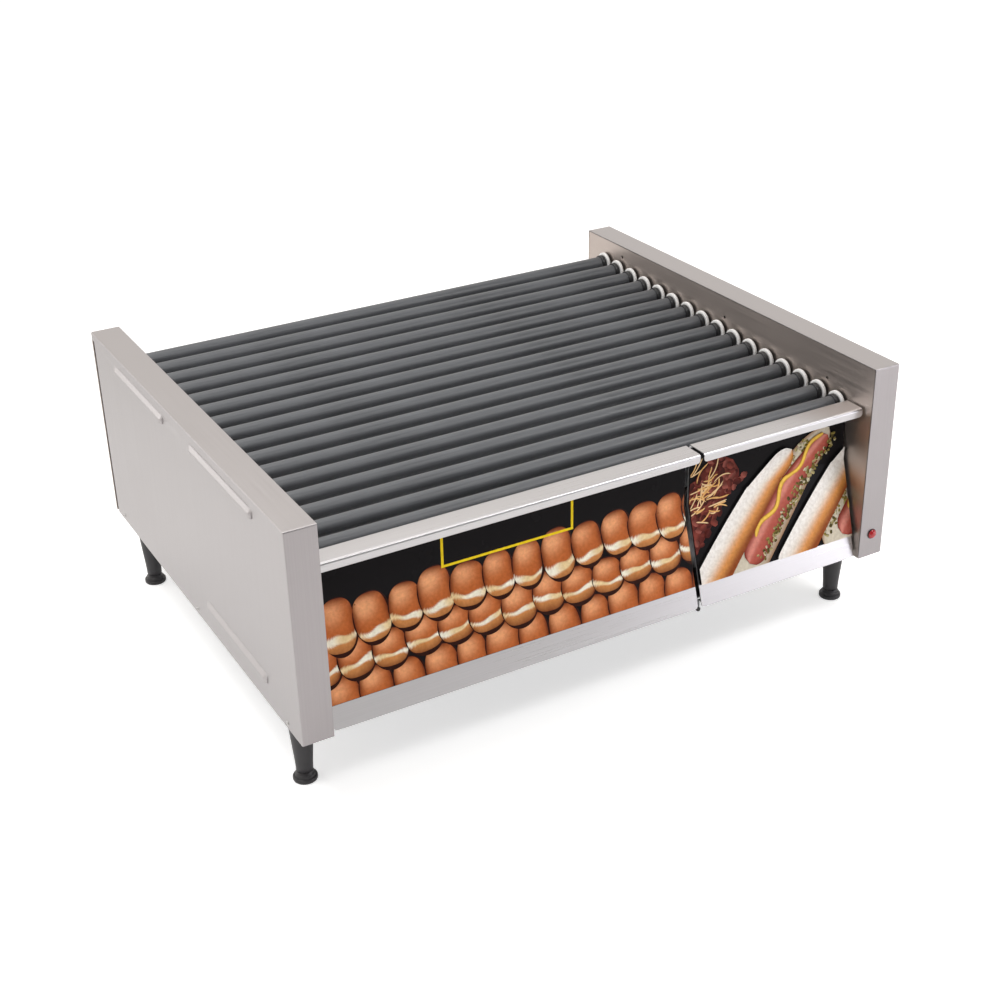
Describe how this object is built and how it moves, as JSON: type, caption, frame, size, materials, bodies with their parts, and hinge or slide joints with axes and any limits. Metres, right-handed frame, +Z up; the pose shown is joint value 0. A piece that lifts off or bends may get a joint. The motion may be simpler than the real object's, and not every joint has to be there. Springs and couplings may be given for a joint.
{
  "type": "roller grill",
  "caption": "Counter-top roller grill with a sloping bed of driven heated rollers, a bun drawer and a drop-down control door under the rollers, a drip tray and four screw feet.",
  "frame": {"origin": "centre of the footprint, on the surface the feet stand on", "axes": "+Z up, +X to the operator's right along the rollers, the front with the drawer and the door faces -Y"},
  "size_m": [0.915, 0.7319, 0.3955],
  "materials": {
    "cover_steel": "brushed",
    "inner_steel": "brushed",
    "galvanised_steel": "dull",
    "roller_coating": "satin non-stick coating",
    "bearing_plastic": "satin",
    "black_plastic": "satin",
    "printed_panel": "glossy print",
    "red_lens": "glossy",
    "dark_steel": "dull"
  },
  "bodies": {
    "frame": {"right_end_cover": "cover_steel", "left_end_cover": "cover_steel", "control_panel": "cover_steel", "rear_panel": "cover_steel", "right_inner_panel": "inner_steel", "left_inner_panel": "inner_steel", "right_bearing_strip": "bearing_plastic", "left_bearing_strip": "bearing_plastic", "right_bottom_plate": "galvanised_steel", "left_bottom_plate": "galvanised_steel", "base_pan": "galvanised_steel", "compartment_ceiling": "galvanised_steel", "front_crossmember": "galvanised_steel", "compartment_divider": "galvanised_steel", "left_drawer_rail": "galvanised_steel", "right_drawer_rail": "galvanised_steel", "front_left_leg": "black_plastic", "front_right_leg": "black_plastic", "rear_left_leg": "black_plastic", "rear_right_leg": "black_plastic", "cable_gland": "black_plastic", "switch_block": "black_plastic", "pilot_lamp": "red_lens", "door_hinge_rod": "dark_steel", "rear_heat_regulator": "dark_steel", "front_heat_regulator": "dark_steel", "heating_rods": "dark_steel", "drive_motor": "dark_steel", "drive_chain": "dark_steel"},
    "roller_01": {"roller_01": "roller_coating"},
    "roller_02": {"roller_02": "roller_coating"},
    "roller_03": {"roller_03": "roller_coating"},
    "roller_04": {"roller_04": "roller_coating"},
    "roller_05": {"roller_05": "roller_coating"},
    "roller_06": {"roller_06": "roller_coating"},
    "roller_07": {"roller_07": "roller_coating"},
    "roller_08": {"roller_08": "roller_coating"},
    "roller_09": {"roller_09": "roller_coating"},
    "roller_10": {"roller_10": "roller_coating"},
    "roller_11": {"roller_11": "roller_coating"},
    "roller_12": {"roller_12": "roller_coating"},
    "roller_13": {"roller_13": "roller_coating"},
    "roller_14": {"roller_14": "roller_coating"},
    "roller_15": {"roller_15": "roller_coating"},
    "roller_16": {"roller_16": "roller_coating"},
    "drive_sprocket": {"drive_sprocket": "dark_steel"},
    "bun_drawer": {"drawer_front": "cover_steel", "drawer_graphic": "printed_panel", "bun_drawer_tray": "cover_steel"},
    "control_door": {"control_door": "cover_steel", "control_door_graphic": "printed_panel"},
    "drip_tray": {"drip_tray": "cover_steel"},
    "rear_heat_knob": {"rear_heat_knob": "black_plastic"},
    "front_heat_knob": {"front_heat_knob": "black_plastic"},
    "power_switch_rocker": {"power_switch_rocker": "black_plastic"},
    "roller_switch_rocker": {"roller_switch_rocker": "black_plastic"},
    "front_left_foot": {"front_left_foot": "black_plastic"},
    "front_right_foot": {"front_right_foot": "black_plastic"},
    "rear_left_foot": {"rear_left_foot": "black_plastic"},
    "rear_right_foot": {"rear_right_foot": "black_plastic"}
  },
  "joints": [
    {"name": "roller_01_spin", "type": "hinge", "parent": "frame", "child": "roller_01", "pos_m": [0, 0.303, 0.3558], "axis": [1, 0, 0], "continuous": true},
    {"name": "roller_02_spin", "type": "hinge", "parent": "frame", "child": "roller_02", "pos_m": [0, 0.2633, 0.3537], "axis": [1, 0, 0], "continuous": true},
    {"name": "roller_03_spin", "type": "hinge", "parent": "frame", "child": "roller_03", "pos_m": [0, 0.2236, 0.3516], "axis": [1, 0, 0], "continuous": true},
    {"name": "roller_04_spin", "type": "hinge", "parent": "frame", "child": "roller_04", "pos_m": [0, 0.1839, 0.3495], "axis": [1, 0, 0], "continuous": true},
    {"name": "roller_05_spin", "type": "hinge", "parent": "frame", "child": "roller_05", "pos_m": [0, 0.1442, 0.3474], "axis": [1, 0, 0], "continuous": true},
    {"name": "roller_06_spin", "type": "hinge", "parent": "frame", "child": "roller_06", "pos_m": [0, 0.1045, 0.3453], "axis": [1, 0, 0], "continuous": true},
    {"name": "roller_07_spin", "type": "hinge", "parent": "frame", "child": "roller_07", "pos_m": [0, 0.0648, 0.3432], "axis": [1, 0, 0], "continuous": true},
    {"name": "roller_08_spin", "type": "hinge", "parent": "frame", "child": "roller_08", "pos_m": [0, 0.0251, 0.3411], "axis": [1, 0, 0], "continuous": true},
    {"name": "roller_09_spin", "type": "hinge", "parent": "frame", "child": "roller_09", "pos_m": [0, -0.0146, 0.339], "axis": [1, 0, 0], "continuous": true},
    {"name": "roller_10_spin", "type": "hinge", "parent": "frame", "child": "roller_10", "pos_m": [0, -0.0543, 0.3369], "axis": [1, 0, 0], "continuous": true},
    {"name": "roller_11_spin", "type": "hinge", "parent": "frame", "child": "roller_11", "pos_m": [0, -0.094, 0.3348], "axis": [1, 0, 0], "continuous": true},
    {"name": "roller_12_spin", "type": "hinge", "parent": "frame", "child": "roller_12", "pos_m": [0, -0.1337, 0.3327], "axis": [1, 0, 0], "continuous": true},
    {"name": "roller_13_spin", "type": "hinge", "parent": "frame", "child": "roller_13", "pos_m": [0, -0.1734, 0.3306], "axis": [1, 0, 0], "continuous": true},
    {"name": "roller_14_spin", "type": "hinge", "parent": "frame", "child": "roller_14", "pos_m": [0, -0.2131, 0.3285], "axis": [1, 0, 0], "continuous": true},
    {"name": "roller_15_spin", "type": "hinge", "parent": "frame", "child": "roller_15", "pos_m": [0, -0.2528, 0.3264], "axis": [1, 0, 0], "continuous": true},
    {"name": "roller_16_spin", "type": "hinge", "parent": "frame", "child": "roller_16", "pos_m": [0, -0.2925, 0.3243], "axis": [1, 0, 0], "continuous": true},
    {"name": "drive_sprocket_spin", "type": "hinge", "parent": "frame", "child": "drive_sprocket", "pos_m": [0.4245, 0.02, 0.205], "axis": [1, 0, 0], "continuous": true},
    {"name": "bun_drawer_slide", "type": "slide", "parent": "frame", "child": "bun_drawer", "axis": [0, -1, 0], "range_m": [0, 0.35]},
    {"name": "control_door_swing", "type": "hinge", "parent": "frame", "child": "control_door", "pos_m": [0.275, -0.344, 0.109], "axis": [1, 0, 0], "range_deg": [0, 95]},
    {"name": "drip_tray_slide", "type": "slide", "parent": "frame", "child": "drip_tray", "axis": [0, 1, 0], "range_m": [0, 0.5]},
    {"name": "rear_heat_knob_turn", "type": "hinge", "parent": "frame", "child": "rear_heat_knob", "pos_m": [0.215, -0.282, 0.215], "axis": [0, 1, 0], "range_deg": [0, 270]},
    {"name": "front_heat_knob_turn", "type": "hinge", "parent": "frame", "child": "front_heat_knob", "pos_m": [0.335, -0.282, 0.215], "axis": [0, 1, 0], "range_deg": [0, 270]},
    {"name": "power_switch_rock", "type": "hinge", "parent": "frame", "child": "power_switch_rocker", "pos_m": [0.225, -0.282, 0.16], "axis": [-1, 0, 0], "range_deg": [0, 16]},
    {"name": "roller_switch_rock", "type": "hinge", "parent": "frame", "child": "roller_switch_rocker", "pos_m": [0.325, -0.282, 0.16], "axis": [-1, 0, 0], "range_deg": [0, 16]},
    {"name": "front_left_foot_turn", "type": "hinge", "parent": "frame", "child": "front_left_foot", "pos_m": [-0.428, -0.29, 0.007], "axis": [0, 0, 1], "continuous": true},
    {"name": "front_right_foot_turn", "type": "hinge", "parent": "frame", "child": "front_right_foot", "pos_m": [0.428, -0.29, 0.007], "axis": [0, 0, 1], "continuous": true},
    {"name": "rear_left_foot_turn", "type": "hinge", "parent": "frame", "child": "rear_left_foot", "pos_m": [-0.428, 0.29, 0.007], "axis": [0, 0, 1], "continuous": true},
    {"name": "rear_right_foot_turn", "type": "hinge", "parent": "frame", "child": "rear_right_foot", "pos_m": [0.428, 0.29, 0.007], "axis": [0, 0, 1], "continuous": true}
  ],
  "couplings": [
    {"joint": "roller_02_spin", "follows": "roller_01_spin", "ratio": 1},
    {"joint": "roller_03_spin", "follows": "roller_01_spin", "ratio": 1},
    {"joint": "roller_04_spin", "follows": "roller_01_spin", "ratio": 1},
    {"joint": "roller_05_spin", "follows": "roller_01_spin", "ratio": 1},
    {"joint": "roller_06_spin", "follows": "roller_01_spin", "ratio": 1},
    {"joint": "roller_07_spin", "follows": "roller_01_spin", "ratio": 1},
    {"joint": "roller_08_spin", "follows": "roller_01_spin", "ratio": 1},
    {"joint": "roller_09_spin", "follows": "roller_01_spin", "ratio": 1},
    {"joint": "roller_10_spin", "follows": "roller_01_spin", "ratio": 1},
    {"joint": "roller_11_spin", "follows": "roller_01_spin", "ratio": 1},
    {"joint": "roller_12_spin", "follows": "roller_01_spin", "ratio": 1},
    {"joint": "roller_13_spin", "follows": "roller_01_spin", "ratio": 1},
    {"joint": "roller_14_spin", "follows": "roller_01_spin", "ratio": 1},
    {"joint": "roller_15_spin", "follows": "roller_01_spin", "ratio": 1},
    {"joint": "roller_16_spin", "follows": "roller_01_spin", "ratio": 1},
    {"joint": "drive_sprocket_spin", "follows": "roller_01_spin", "ratio": 1}
  ]
}
